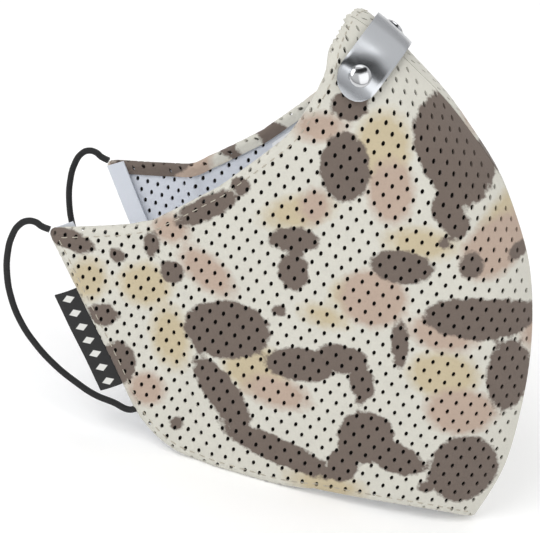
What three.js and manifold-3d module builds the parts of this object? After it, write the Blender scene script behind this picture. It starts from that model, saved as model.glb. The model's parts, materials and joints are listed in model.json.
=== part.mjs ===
// Fold-flat sports face mask in millimetres.
// +X points out of the face (nose side), +Y to the wearer's left, +Z up. It stands on its bottom hems.
// Each half is one smooth surface: a curved centre seam, a rounded zone behind it and a flat cheek.
// Four cloth layers follow that surface at their own depths, each split at the cheek fold.
import * as THREE from 'three';
import { mergeVertices } from 'three/addons/utils/BufferGeometryUtils.js';
import Module from 'manifold-3d';

const wasm = await Module();
wasm.setup();

// Overall sizes.
const LENGTH = 129; // chin to ear-top corner, along X
const HEIGHT = 131; // bottom hem to the top of the centre seam
const HALF_WIDTH = 14; // half width of the cup at the chin
const SPREAD = 0.1; // how much each cheek opens per millimetre towards the ear
const CHIN_ROUNDING = 20; // how far behind the seam the cup reaches its width: slowly at the chin
const NOSE_ROUNDING = 3.5; // and quickly at the nose, where the crown is broad
const CROWN_POWER = 0.85;
const CHIN_X = 62.4; // chin, from the middle of the mask's length

// Cloth layers, from the outside in.
const OUTER_CLOTH = 0.9;
const FILTER_CLOTH = 0.5;
const LINING_CLOTH = 0.6;
const POCKET_CLOTH = 0.5;
const TAPE_CLOTH = 0.5;
const HEM_CLOTH = 0.6;
const LAYER_GAP = 0.4;
const SEAM_GAP = 0.4; // between the two halves
const FOLD_GAP = 0.96; // between the front and the cheek of one half
const INNER_INSET = 1.2; // inner layers stop short of the outer edges
const TAPE_WIDTH = 5; // on each side of the centre seam
const HEM_WIDTH = 6;

// Nose clip and its rivets.
const CLIP_WIDTH = 11.5;
const CLIP_LEG = 24.5; // from the seam to the rounded tip, along the cloth
const CLIP_METAL = 0.8;
const CLIP_AT = 13; // from the top of the seam to the middle of the clip
const RIVET_FROM_TIP = 5.8;
const RIVET_RADIUS = 3;
const RIVET_DOME = 1.3;
const SHANK_RADIUS = 1;
const WASHER_METAL = 0.5;
const WASHER_RADIUS = 2.5;
const FIT = 0.3; // clearance round what passes through or seats
const CUP_SAG = 0.8; // how far the cloth curves away under the flat washer

// Label and ear loops.
const LABEL_LENGTH = 30;
const LABEL_WIDTH = 5.6;
const LABEL_TAPE = 0.6;
const LABEL_UP = 8.6; // from the lower ear corner to the label
const EDGE_HINGE = 0.6; // the swing line lies this far behind the ear edge
const LOOP_DIAMETER = 1.8;
// A loop's route: how far up the ear edge from its lower corner, and how far behind it.
const LOOP_ROUTE = [
  [0.8, 0.9], [4, 3.9], [8, 8], [13.6, 11.6], [19.6, 14.6], [27.2, 17], [34.6, 18], [42, 17.4],
  [48.8, 15.4], [54.2, 12.6], [58.4, 9.2], [60.6, 6], [60.9, 3.4], [59.8, 1.4], [58.2, 0.4],
];

// Grid steps.
const FRONT_STEPS = 10;
const CHEEK_STEPS = 8;
const ROWS = 12;
const SEAM_SAMPLES = 400;
const SLIVER = 0.01; // shorter edges that a cut leaves are merged

// The half's outline, drawn from the side, as shares of the length and the height.
const share = (x, z) => new THREE.Vector2(x * LENGTH, z * HEIGHT);
const seamCurve = new THREE.SplineCurve([
  share(0, 0), share(0.033, 0.153), share(0.022, 0.362), share(-0.019, 0.542),
  share(-0.111, 0.721), share(-0.244, 0.849), share(-0.413, 0.953), share(-0.545, 1),
]);
const foldTop = share(-0.677, 0.621);
const foldBottom = share(-0.325, 0.015);
const earTop = share(-1, 0.425);
const earBottom = share(-0.734, 0.076);
const topFront = new THREE.SplineCurve([
  share(-0.545, 1), share(-0.529, 0.923), share(-0.561, 0.792), share(-0.601, 0.724), foldTop,
]);
const topCheek = new THREE.SplineCurve([
  foldTop, share(-0.77, 0.528), share(-0.824, 0.487), earTop,
]);
const bottomFront = new THREE.SplineCurve([share(0, 0), share(-0.1, 0.024), foldBottom]);
const restFront = share(-0.44, 0); // the cheek rests on its hem between these two points
const restBack = share(-0.57, 0);
const bottomCheek = new THREE.CurvePath();
bottomCheek.add(new THREE.QuadraticBezierCurve(foldBottom, share(-0.38, 0), restFront));
bottomCheek.add(new THREE.LineCurve(restFront, restBack));
bottomCheek.add(new THREE.QuadraticBezierCurve(restBack, share(-0.66, 0), earBottom));
const foldLine = new THREE.LineCurve(foldBottom, foldTop);
const earLine = new THREE.LineCurve(earBottom, earTop);

// Depth behind the seam is measured straight back and 30 degrees down.
const BACK = new THREE.Vector2(-Math.cos(Math.PI / 6), -Math.sin(Math.PI / 6));
const ACROSS = new THREE.Vector2(BACK.y, -BACK.x);
const seamSamples = seamCurve.getPoints(SEAM_SAMPLES);

/** Depth of a side-view point behind the centre seam. */
function depthBehindSeam(point) {
  const level = point.dot(ACROSS);
  let i = 1;
  while (i < SEAM_SAMPLES && seamSamples[i].dot(ACROSS) < level) i += 1;
  const [low, high] = [seamSamples[i - 1], seamSamples[i]];
  const part = (level - low.dot(ACROSS)) / (high.dot(ACROSS) - low.dot(ACROSS));
  return point.clone().sub(low.clone().lerp(high, part)).dot(BACK);
}

/** Outer surface of the right half above a side-view point. */
function skin(point) {
  const upSeam = THREE.MathUtils.clamp(point.dot(ACROSS) / seamSamples[SEAM_SAMPLES].dot(ACROSS), 0, 1);
  const rounding = THREE.MathUtils.lerp(NOSE_ROUNDING, CHIN_ROUNDING, (1 - upSeam) ** 2);
  const fullness = 1 - Math.exp(-Math.max(depthBehindSeam(point), 0) / rounding);
  const width = (HALF_WIDTH - SPREAD * point.x) * fullness ** CROWN_POWER;
  return new THREE.Vector3(point.x, -width, point.y);
}

/** Unit normal of the right half, pointing into the cup. */
function inward(point) {
  const step = 0.05;
  const beside = (x, z) => skin(new THREE.Vector2(point.x + x, point.y + z));
  const alongX = beside(step, 0).sub(beside(-step, 0));
  const alongZ = beside(0, step).sub(beside(0, -step));
  const normal = alongX.cross(alongZ).normalize();
  return normal.y > 0 ? normal : normal.negate();
}

/** The surface at a depth below the skin; a negative depth stands outside it. */
function layerPoint(point, depth) {
  return skin(point).addScaledVector(inward(point), depth);
}

/** Side-view point of a four-sided panel at a share u back from its front edge and v up. */
function panelPoint(panel, u, v) {
  const { front, back, bottom, top } = panel;
  const corners = [front.getPointAt(0), back.getPointAt(0), front.getPointAt(1), back.getPointAt(1)];
  const sides = front.getPointAt(v).multiplyScalar(1 - u).addScaledVector(back.getPointAt(v), u);
  const ends = bottom.getPointAt(u).multiplyScalar(1 - v).addScaledVector(top.getPointAt(u), v);
  const bilinear = corners[0].multiplyScalar((1 - u) * (1 - v)).addScaledVector(corners[1], u * (1 - v))
    .addScaledVector(corners[2], (1 - u) * v).addScaledVector(corners[3], u * v);
  return sides.add(ends).sub(bilinear);
}

const FRONT = { front: seamCurve, back: foldLine, bottom: bottomFront, top: topFront };
const CHEEK = { front: foldLine, back: earLine, bottom: bottomCheek, top: topCheek };
const FRONT_SPAN = foldBottom.length(); // shortest run from the seam to the fold
const FRONT_CROWD = 2.1; // crowds the grid towards the crown
const CHEEK_SPAN = foldTop.distanceTo(earTop);

/** Share back from the seam at which a layer reaches the clearance to the other half. */
function seamStart(panel, v, depth) {
  let [low, high] = [0, 1];
  for (let turn = 0; turn < 30; turn += 1) {
    const middle = (low + high) / 2;
    if (-layerPoint(panelPoint(panel, middle, v), depth).y < SEAM_GAP / 2) low = middle;
    else high = middle;
  }
  return high;
}

/** One face of a layer: rows of points from the front edge to the back edge. */
function layerFace(panel, depth, { from = 0, to = 1, steps, inset = 0, crowd = 1 }) {
  const rows = [];
  const rise = inset / HEIGHT;
  for (let row = 0; row <= ROWS; row += 1) {
    const v = rise + (1 - 2 * rise) * (row / ROWS);
    const start = panel === FRONT && from === 0 ? seamStart(panel, v, depth) : from;
    const line = [];
    for (let step = 0; step <= steps; step += 1) {
      const u = start + (to - start) * (step / steps) ** crowd;
      const flat = panelPoint(panel, u, v);
      const point = layerPoint(flat, depth);
      if (row === 0) point.z = flat.y;
      line.push(point);
    }
    rows.push(line);
  }
  return rows;
}

/** Geometry from faces that share their points, turned so that it faces out. */
function solidFrom(points, faces) {
  const geometry = new THREE.BufferGeometry();
  const coordinates = points.flatMap((p) => [p.x, p.y, p.z]);
  geometry.setAttribute('position', new THREE.Float32BufferAttribute(coordinates, 3));
  const corner = ([a, b, c]) => points[a].dot(points[b].clone().cross(points[c]));
  const volume = faces.reduce((sum, face) => sum + corner(face), 0);
  geometry.setIndex(faces.flatMap(([a, b, c]) => (volume > 0 ? [a, b, c] : [a, c, b])));
  return geometry;
}

/** Closed sheet between two grids of points with as many rows and columns. */
function sheet(outer, inner) {
  const [rows, columns] = [outer.length, outer[0].length];
  const points = [...outer.flat(), ...inner.flat()];
  const index = (face, row, column) => face * rows * columns + row * columns + column;
  const faces = [];
  const quad = (a, b, c, d) => faces.push([a, b, c], [a, c, d]);
  for (let row = 0; row < rows - 1; row += 1) {
    for (let column = 0; column < columns - 1; column += 1) {
      const [below, beside] = [row + 1, column + 1];
      quad(index(0, row, column), index(0, row, beside), index(0, below, beside), index(0, below, column));
      quad(index(1, row, column), index(1, below, column), index(1, below, beside), index(1, row, beside));
    }
    const last = columns - 1;
    quad(index(0, row, 0), index(0, row + 1, 0), index(1, row + 1, 0), index(1, row, 0));
    quad(index(0, row, last), index(1, row, last), index(1, row + 1, last), index(0, row + 1, last));
  }
  for (let column = 0; column < columns - 1; column += 1) {
    const last = rows - 1;
    quad(index(0, 0, column), index(1, 0, column), index(1, 0, column + 1), index(0, 0, column + 1));
    const beside = column + 1;
    quad(index(0, last, column), index(0, last, beside), index(1, last, beside), index(1, last, column));
  }
  return solidFrom(points, faces);
}

/** The same geometry on the other side of the symmetry plane. */
function mirrored(geometry) {
  const copy = geometry.clone();
  copy.scale(1, -1, 1);
  const index = copy.getIndex().array;
  for (let i = 0; i < index.length; i += 3) [index[i + 1], index[i + 2]] = [index[i + 2], index[i + 1]];
  return copy;
}

/** Manifold solid of a geometry. */
function solid(geometry) {
  const merged = welded(geometry);
  return new wasm.Manifold(new wasm.Mesh({
    numProp: 3,
    vertProperties: new Float32Array(merged.getAttribute('position').array),
    triVerts: new Uint32Array(merged.getIndex().array),
  }));
}

/** The same closed geometry with shared corners and an index. */
function welded(geometry) {
  const bare = geometry.clone();
  bare.deleteAttribute('normal');
  bare.deleteAttribute('uv');
  return mergeVertices(bare, 1e-4);
}

/** Geometry with holes cut by other geometries. */
function cut(geometry, ...cutters) {
  let body = solid(geometry);
  for (const cutter of cutters) body = body.subtract(solid(cutter));
  const mesh = body.simplify(SLIVER).getMesh();
  const result = new THREE.BufferGeometry();
  result.setAttribute('position', new THREE.Float32BufferAttribute(mesh.vertProperties, 3));
  result.setIndex([...mesh.triVerts]);
  return result;
}

// Depths of each layer's outer face below the skin.
const FILTER_AT = OUTER_CLOTH + LAYER_GAP;
const LINING_AT = FILTER_AT + FILTER_CLOTH + LAYER_GAP;
const POCKET_AT = LINING_AT + LINING_CLOTH + LAYER_GAP;
const TAPE_AT = POCKET_AT + POCKET_CLOTH + LAYER_GAP;
const STACK = LINING_AT + LINING_CLOTH; // whole cloth at the cheek

/** A layer of the front panel, from the centre seam to the cheek fold. */
function frontLayer(depth, thickness, inset) {
  const grid = { to: 1 - FOLD_GAP / 2 / FRONT_SPAN, steps: FRONT_STEPS, inset, crowd: FRONT_CROWD };
  return sheet(layerFace(FRONT, depth, grid), layerFace(FRONT, depth + thickness, grid));
}

/** A layer of the cheek panel, from the cheek fold to the ear edge. */
function cheekLayer(depth, thickness, inset) {
  const grid = { from: FOLD_GAP / 2 / CHEEK_SPAN, to: 1 - inset / CHEEK_SPAN, steps: CHEEK_STEPS, inset };
  return sheet(layerFace(CHEEK, depth, grid), layerFace(CHEEK, depth + thickness, grid));
}

/** The turned hem inside the ear edge. */
function earHem() {
  const edge = INNER_INSET / CHEEK_SPAN;
  const grid = { from: 1 - edge - HEM_WIDTH / CHEEK_SPAN, to: 1 - edge, steps: 1, inset: INNER_INSET };
  return sheet(layerFace(CHEEK, POCKET_AT, grid), layerFace(CHEEK, POCKET_AT + HEM_CLOTH, grid));
}

/** Points of a strip that crosses the seam, from the right edge to the left edge. */
function acrossSeam(rightRow) {
  const leftRow = rightRow.slice(1).map((p) => new THREE.Vector3(p.x, -p.y, p.z));
  return [...rightRow.slice().reverse(), ...leftRow];
}

/** How far back from the seam a strip at a depth inside the cup meets the middle plane. */
function crest(pointAt, depth) {
  if (depth <= 0) return 0;
  let [low, high] = [0, 12];
  for (let turn = 0; turn < 40; turn += 1) {
    const middle = (low + high) / 2;
    if (-layerPoint(pointAt(middle), depth).y < 0) low = middle;
    else high = middle;
  }
  return high;
}

/** Side-view distances back from the seam at even steps of cloth length. */
function stations(pointAt, start, length, steps) {
  const places = [start];
  let [back, run, last] = [start, 0, skin(pointAt(start))];
  while (places.length <= steps) {
    back += 0.02;
    const next = skin(pointAt(back));
    run += next.distanceTo(last);
    last = next;
    if (run >= (length * places.length) / steps) places.push(back);
  }
  return places;
}

/** The tape that binds the seam allowance, inside the pocket layer. */
function seamTape() {
  const [steps, margin] = [3, 0.03];
  const face = (depth) => {
    const rows = [];
    for (let row = 0; row <= ROWS + 4; row += 1) {
      const base = seamCurve.getPointAt(margin + (1 - 2 * margin) * (row / (ROWS + 4)));
      const pointAt = (back) => base.clone().addScaledVector(BACK, back);
      const places = stations(pointAt, crest(pointAt, depth), TAPE_WIDTH, steps);
      const line = places.map((back) => layerPoint(pointAt(back), depth));
      line[0].y = 0;
      rows.push(acrossSeam(line));
    }
    return rows;
  };
  return sheet(face(TAPE_AT), face(TAPE_AT + TAPE_CLOTH));
}

// The clip lies square to the seam at its own place near the top of the seam.
const seamLength = seamCurve.getLength();
const clipShare = 1 - CLIP_AT / seamLength;
const clipAlong = seamCurve.getTangentAt(clipShare);
const clipBack = new THREE.Vector2(-clipAlong.y, clipAlong.x);

/** Side-view point of the clip: how far along the seam from its middle, and how far back from the seam. */
function clipPoint(along, back) {
  return seamCurve.getPointAt(clipShare + along / seamLength).addScaledVector(clipBack, back);
}

const CLIP_STEPS = 13;
const clipBacks = stations((back) => clipPoint(0, back), 0, CLIP_LEG, CLIP_STEPS);

/** Side-view distance back from the seam at a cloth length along the clip's middle. */
function clipBackAt(run) {
  const place = (run / CLIP_LEG) * CLIP_STEPS;
  const low = Math.min(Math.floor(place), CLIP_STEPS - 1);
  return THREE.MathUtils.lerp(clipBacks[low], clipBacks[low + 1], place - low);
}

/** The bent metal strap with its two rounded ends. */
function noseClip() {
  const columns = 5;
  const half = CLIP_WIDTH / 2;
  const tipWidth = 1.2;
  const face = (depth) => {
    const lines = [];
    for (let column = 0; column <= columns; column += 1) {
      const side = (2 * column) / columns - 1;
      const line = [];
      for (let step = 0; step <= CLIP_STEPS; step += 1) {
        const run = (CLIP_LEG * step) / CLIP_STEPS;
        const round = Math.max(0, run - (CLIP_LEG - half));
        const reach = Math.max(Math.sqrt(half * half - round * round), tipWidth);
        const pointAt = (back) => clipPoint(side * reach, back);
        const back = step === 0 ? crest(pointAt, depth) : clipBackAt(run);
        const point = layerPoint(pointAt(back), depth);
        if (step === 0) point.y = 0;
        line.push(point);
      }
      lines.push(acrossSeam(line));
    }
    return lines;
  };
  return sheet(face(-LAYER_GAP - CLIP_METAL), face(-LAYER_GAP));
}

// Rivets: local +Z points out of the cloth, and the origin is on the skin.
const rivetSpot = clipPoint(0, clipBackAt(CLIP_LEG - RIVET_FROM_TIP));
const rivetHead = LAYER_GAP + CLIP_METAL + FIT;
const washerAt = -(POCKET_AT + POCKET_CLOTH + FIT + CUP_SAG);
const ROUND = 24;

/** Lathed geometry with its axis along Z, merged and closed. */
function turned(profile) {
  const points = profile.map(([radius, height]) => new THREE.Vector2(radius, height));
  const geometry = new THREE.LatheGeometry(points, ROUND);
  geometry.rotateX(Math.PI / 2);
  return geometry;
}

const rivetCap = () => turned([
  [0, washerAt - WASHER_METAL], [SHANK_RADIUS, washerAt - WASHER_METAL], [SHANK_RADIUS, rivetHead],
  [RIVET_RADIUS, rivetHead], [RIVET_RADIUS * 0.97, rivetHead + RIVET_DOME * 0.4],
  [RIVET_RADIUS * 0.72, rivetHead + RIVET_DOME * 0.8], [RIVET_RADIUS * 0.35, rivetHead + RIVET_DOME * 0.97],
  [0, rivetHead + RIVET_DOME],
]);
const rivetWasher = () => turned([
  [SHANK_RADIUS + FIT, washerAt - WASHER_METAL], [WASHER_RADIUS, washerAt - WASHER_METAL],
  [WASHER_RADIUS, washerAt], [SHANK_RADIUS + FIT, washerAt], [SHANK_RADIUS + FIT, washerAt - WASHER_METAL],
]);
const rivetHole = () => turned([[0, washerAt - 3], [SHANK_RADIUS + FIT, washerAt - 3],
  [SHANK_RADIUS + FIT, rivetHead + 3], [0, rivetHead + 3]]);

/** Puts rivet geometry on the right or the left leg of the clip. */
function onClip(geometry, side) {
  const outward = inward(rivetSpot).negate();
  const origin = skin(rivetSpot);
  const turn = new THREE.Quaternion().setFromUnitVectors(new THREE.Vector3(0, 0, 1), outward);
  const placed = geometry.clone();
  placed.applyQuaternion(turn);
  placed.translate(origin.x, origin.y, origin.z);
  return side === 'right' ? placed : mirrored(placed);
}

// The swing line of the ear edge: its lower end, its direction up, and straight back from the edge.
const edgeMiddleDepth = STACK / 2;
const edgeLow = layerPoint(earBottom, edgeMiddleDepth);
const edgeHigh = layerPoint(earTop, edgeMiddleDepth);
const edgeUp = edgeHigh.clone().sub(edgeLow).normalize();
const edgeBack = edgeUp.clone().cross(inward(earBottom)).normalize();
if (edgeBack.x > 0) edgeBack.negate();
const edgeOut = inward(earBottom).negate();
edgeLow.addScaledVector(edgeBack, EDGE_HINGE);
edgeHigh.addScaledVector(edgeBack, EDGE_HINGE);
const edgePoint = (up, back) => edgeLow.clone().addScaledVector(edgeUp, up).addScaledVector(edgeBack, back);

/** An elastic ear loop along its route. */
function earLoop() {
  const route = new THREE.CatmullRomCurve3(LOOP_ROUTE.map(([up, back]) => edgePoint(up, back)));
  const section = new THREE.Shape();
  section.absarc(0, 0, LOOP_DIAMETER / 2, 0, 2 * Math.PI);
  const ring = new THREE.Shape(section.getSpacedPoints(8).slice(0, 8));
  const steps = Math.round(route.getLength() / (2 * LOOP_DIAMETER));
  return new THREE.ExtrudeGeometry(ring, { steps, extrudePath: route, curveSegments: 1 });
}

/** The woven label that stands out behind the ear edge. */
function sideLabel() {
  const box = new THREE.BoxGeometry(LABEL_WIDTH, LABEL_TAPE, LABEL_LENGTH);
  const turn = new THREE.Matrix4().makeBasis(edgeBack, edgeOut, edgeUp);
  if (turn.determinant() < 0) turn.makeBasis(edgeBack, edgeOut.clone().negate(), edgeUp);
  box.applyMatrix4(turn);
  const middle = edgePoint(LABEL_UP + LABEL_LENGTH / 2, FIT + LABEL_WIDTH / 2);
  box.translate(middle.x, middle.y, middle.z);
  return box;
}

const material = (color, roughness, metalness = 0) => (
  new THREE.MeshStandardMaterial({ color, roughness, metalness })
);
const camoMesh = material('#c9c2b0', 0.9);
const filterFelt = material('#26221f', 0.95);
const liningMesh = material('#dfe2ea', 0.9);
const pocketCloth = material('#eceef2', 0.85);
const clipMetal = material('#b9bdc1', 0.3, 1);
const rivetMetal = material('#c9ccd0', 0.25, 1);
const elastic = material('#17181a', 0.7);
const labelTape = material('#101112', 0.6);

const mask = new THREE.Group();
mask.position.x = CHIN_X;

/** Adds a named piece to the mask. */
function add(name, geometry, finish) {
  const mesh = new THREE.Mesh(geometry, finish);
  mesh.name = name;
  mask.add(mesh);
}

for (const side of ['right', 'left']) {
  const place = (geometry) => (side === 'right' ? geometry : mirrored(geometry));
  const hole = onClip(rivetHole(), side);
  const front = (depth, thickness, inset) => cut(place(frontLayer(depth, thickness, inset)), hole);
  add(`outer_front_${side}`, front(0, OUTER_CLOTH, 0), camoMesh);
  add(`filter_front_${side}`, front(FILTER_AT, FILTER_CLOTH, INNER_INSET), filterFelt);
  add(`lining_front_${side}`, front(LINING_AT, LINING_CLOTH, INNER_INSET), liningMesh);
  add(`pocket_${side}`, front(POCKET_AT, POCKET_CLOTH, INNER_INSET), pocketCloth);
  add(`outer_cheek_${side}`, place(cheekLayer(0, OUTER_CLOTH, 0)), camoMesh);
  add(`filter_cheek_${side}`, place(cheekLayer(FILTER_AT, FILTER_CLOTH, INNER_INSET)), filterFelt);
  add(`lining_cheek_${side}`, place(cheekLayer(LINING_AT, LINING_CLOTH, INNER_INSET)), liningMesh);
  add(`ear_hem_${side}`, place(earHem()), liningMesh);
  add(`rivet_${side}`, onClip(rivetCap(), side), rivetMetal);
  add(`rivet_washer_${side}`, onClip(rivetWasher(), side), rivetMetal);
  add(`ear_loop_${side}`, place(welded(earLoop())), elastic);
}
add('centre_seam_tape', seamTape(), pocketCloth);
add('nose_clip', cut(noseClip(), onClip(rivetHole(), 'right'), onClip(rivetHole(), 'left')), clipMetal);
add('side_label', sideLabel(), labelTape);

export default mask;
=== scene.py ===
"""A perforated camouflage face mask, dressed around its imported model.

The cloth layers, stitches, cords, metal and label are made from one description of the mask's
surface, so that they nest as the real layers do. Shapes are worked out in millimetres, with the
chin at the origin, and become metres in the row frame when a mesh is made.
"""

import json
import logging
import math
from dataclasses import dataclass, field
from enum import Enum
from typing import Any, Callable, Sequence

import bpy
import numpy as np
from mathutils import Matrix, Vector, geometry, kdtree


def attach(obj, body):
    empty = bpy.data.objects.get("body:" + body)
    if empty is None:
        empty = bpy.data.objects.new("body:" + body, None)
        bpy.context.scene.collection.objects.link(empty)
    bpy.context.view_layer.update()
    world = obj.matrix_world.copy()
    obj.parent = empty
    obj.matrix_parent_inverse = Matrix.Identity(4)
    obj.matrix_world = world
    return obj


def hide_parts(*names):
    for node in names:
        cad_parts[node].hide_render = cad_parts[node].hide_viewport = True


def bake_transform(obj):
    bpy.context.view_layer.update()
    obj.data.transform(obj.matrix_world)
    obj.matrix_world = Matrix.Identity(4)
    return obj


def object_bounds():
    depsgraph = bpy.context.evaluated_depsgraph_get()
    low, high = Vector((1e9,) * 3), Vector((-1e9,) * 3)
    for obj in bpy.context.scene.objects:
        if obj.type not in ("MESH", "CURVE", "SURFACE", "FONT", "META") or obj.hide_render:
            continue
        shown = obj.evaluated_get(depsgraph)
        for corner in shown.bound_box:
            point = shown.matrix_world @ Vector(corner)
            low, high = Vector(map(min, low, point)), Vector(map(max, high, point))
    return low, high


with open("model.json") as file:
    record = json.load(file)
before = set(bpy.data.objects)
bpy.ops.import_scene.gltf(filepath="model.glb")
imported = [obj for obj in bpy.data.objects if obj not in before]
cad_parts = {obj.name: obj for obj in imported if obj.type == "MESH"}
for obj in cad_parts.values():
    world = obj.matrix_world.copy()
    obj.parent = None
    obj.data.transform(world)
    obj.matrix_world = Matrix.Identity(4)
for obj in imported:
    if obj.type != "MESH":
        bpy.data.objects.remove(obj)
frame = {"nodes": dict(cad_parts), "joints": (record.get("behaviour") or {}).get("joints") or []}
CAD_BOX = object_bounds()

LOG = logging.getLogger("mask")
MM = 0.001
FINE = 0.4  # millimetres between the points of a finely drawn edge
SLACK = 0.05  # how far a parallel edge may lie too near before it is trimmed
CUT_SCALE = 100.0  # millimetres of cloth in one unit of its UV map

BACK = np.array([-math.cos(math.pi / 6), -math.sin(math.pi / 6)])
ACROSS = np.array([BACK[1], -BACK[0]])


class Side(Enum):
    """One half of the mask; the value is the sign of its y."""

    RIGHT = -1
    LEFT = 1

    @property
    def word(self) -> str:
        """The side's word in node and body names."""
        return self.name.lower()


class Layer(Enum):
    """A cloth layer's outer face, as millimetres below the skin."""

    OUTER = 0.15
    FILTER = 1.3
    LINING = 2.2
    POCKET = 3.2
    TAPE = 4.15


def smooth_line(points: Sequence[np.ndarray], steps: int) -> np.ndarray:
    """Draws a uniform Catmull-Rom curve.

    Args:
        points: The points that it passes through.
        steps: How many steps it is drawn with.

    Returns:
        The points along the curve.
    """
    drawn = []
    for step in range(steps + 1):
        place = (len(points) - 1) * step / steps
        here = min(int(place), len(points) - 1)
        w = place - here
        before, start = points[max(here - 1, 0)], points[here]
        end, after = points[min(here + 1, len(points) - 1)], points[min(here + 2, len(points) - 1)]
        leave, arrive = (end - before) / 2, (after - start) / 2
        cubic = (2 * start - 2 * end + leave + arrive) * w**3
        square = (3 * end - 3 * start - 2 * leave - arrive) * w**2
        drawn.append(cubic + square + leave * w + start)
    return np.array(drawn)


def rounded(start: np.ndarray, control: np.ndarray, end: np.ndarray) -> np.ndarray:
    """Draws a quadratic corner from start to end, pulled towards control."""
    w = np.linspace(0, 1, 20)[:, None]
    return (1 - w) ** 2 * start + 2 * w * (1 - w) * control + w * w * end


def even(line: np.ndarray, spacing: float) -> np.ndarray:
    """Walks a line at even steps.

    Args:
        line: The line's points.
        spacing: The wanted step in millimetres.

    Returns:
        The points, with both ends kept.
    """
    steps = np.linalg.norm(np.diff(line, axis=0), axis=1)
    along = np.concatenate([[0], np.cumsum(steps)])
    marks = np.linspace(0, along[-1], max(2, int(round(along[-1] / spacing)) + 1))
    return np.stack([np.interp(marks, along, line[:, k]) for k in range(line.shape[1])], 1)


@dataclass
class MaskShape:
    """The folded mask's surface, drawn for the right half."""

    length: float = 129.0
    height: float = 131.0
    half_width: float = 14.0
    spread: float = 0.1
    chin_x: float = 62.4
    chin_rounding: float = 20.0
    nose_rounding: float = 3.5
    crown: float = 0.85
    stack: float = 2.8
    reach: float = 150.0

    def __post_init__(self) -> None:
        """Draws the outline and measures the cloth back from the seam."""
        share = self.share
        marks = [(0, 0), (0.033, 0.153), (0.022, 0.362), (-0.019, 0.542)]
        marks += [(-0.111, 0.721), (-0.244, 0.849), (-0.413, 0.953), (-0.545, 1)]
        self.seam = smooth_line([share(*mark) for mark in marks], 400)
        self.levels = self.seam @ ACROSS
        self.fold_top, self.fold_bottom = share(-0.677, 0.621), share(-0.325, 0.015)
        self.ear_top, self.ear_bottom = share(-1, 0.425), share(-0.734, 0.076)
        nose = [share(-0.545, 1), share(-0.529, 0.923), share(-0.561, 0.792), share(-0.601, 0.724)]
        front = smooth_line(nose + [self.fold_top], 120)
        cheek = smooth_line([self.fold_top, share(-0.77, 0.528), share(-0.824, 0.487), self.ear_top], 80)
        self.top = np.vstack([front, cheek[1:]])
        under = smooth_line([share(0, 0), share(-0.1, 0.024), self.fold_bottom], 40)
        heel = rounded(self.fold_bottom, share(-0.38, 0), share(-0.44, 0))
        jaw = rounded(share(-0.57, 0), share(-0.66, 0), self.ear_bottom)
        self.bottom = np.vstack([under, heel[1:], jaw])[::-1]
        self.ear = np.array([self.ear_top, self.ear_bottom])
        self._measure_cloth()

    def share(self, x: float, z: float) -> np.ndarray:
        """A point at shares of the mask's length and height."""
        return np.array([x * self.length, z * self.height])

    def _measure_cloth(self) -> None:
        """Fills the tables of cloth length against distance back from the seam."""
        steps = self.reach * np.linspace(0, 1, 500) ** 2
        self.spare, self.straight = [], []
        for level in np.linspace(self.levels[0], self.levels[-1], 80):
            points = self.crest(np.array([level])) + np.outer(steps, BACK)
            width = -self.skin(points)[:, 1]
            arc = np.concatenate([[0], np.cumsum(np.hypot(np.diff(steps), np.diff(width)))])
            self.spare.append(arc - steps)
            self.straight.append(np.interp(steps, arc, steps))
        self.spare, self.straight = np.array(self.spare), np.array(self.straight)

    def look_up(self, table: np.ndarray, level: np.ndarray, value: np.ndarray) -> np.ndarray:
        """Reads a cloth table between its entries."""
        rows, columns = table.shape
        part = (level - self.levels[0]) / (self.levels[-1] - self.levels[0])
        row = np.clip(part, 0, 1) * (rows - 1)
        column = np.sqrt(np.clip(value / self.reach, 0, 1)) * (columns - 1)
        i, j = np.minimum(row.astype(int), rows - 2), np.minimum(column.astype(int), columns - 2)
        u, v = row - i, column - j
        low = (1 - u) * table[i, j] + u * table[i + 1, j]
        high = (1 - u) * table[i, j + 1] + u * table[i + 1, j + 1]
        return (1 - v) * low + v * high

    def crest(self, level: np.ndarray) -> np.ndarray:
        """The seam's points at the given levels."""
        return np.stack([np.interp(level, self.levels, self.seam[:, k]) for k in (0, 1)], 1)

    def depth_back(self, points: np.ndarray) -> np.ndarray:
        """How far each side-view point lies behind the seam."""
        return (points - self.crest(points @ ACROSS)) @ BACK

    def skin(self, points: np.ndarray) -> np.ndarray:
        """Raises side-view points onto the right half's outer surface.

        Args:
            points: Side-view points, x and z.

        Returns:
            The points in space, x, y and z.
        """
        behind = np.maximum(self.depth_back(points), 0)
        up = np.clip(points @ ACROSS / self.levels[-1], 0, 1)
        rounding = self.nose_rounding + (self.chin_rounding - self.nose_rounding) * (1 - up) ** 2
        full = self.half_width - self.spread * points[:, 0]
        width = full * (1 - np.exp(-behind / rounding)) ** self.crown
        return np.stack([points[:, 0], -width, points[:, 1]], 1)

    def inward(self, points: np.ndarray) -> np.ndarray:
        """The surface's inward unit normals at side-view points."""
        step = 0.05
        along = self.skin(points + [step, 0]) - self.skin(points - [step, 0])
        rise = self.skin(points + [0, step]) - self.skin(points - [0, step])
        normal = np.cross(along, rise)
        normal /= np.linalg.norm(normal, axis=1)[:, None]
        normal[normal[:, 1] < 0] *= -1
        return normal

    def unfold(self, points: np.ndarray) -> np.ndarray:
        """Lays side-view points out on the flat cut."""
        level = points @ ACROSS
        spare = self.look_up(self.spare, level, self.depth_back(points))
        return points - BACK * (self.most_spare(level) - spare)[:, None]

    def fold(self, flat: np.ndarray) -> np.ndarray:
        """Takes points of the flat cut back to the side view."""
        level = flat @ ACROSS
        crest = self.crest(level)
        behind = self.look_up(self.straight, level, self.cloth_back(flat))
        return crest + BACK * behind[:, None]

    def most_spare(self, level: np.ndarray) -> np.ndarray:
        """The cloth that the front's rounding takes up, at each level."""
        return self.look_up(self.spare, level, np.full(len(level), self.reach * 0.6))

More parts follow.
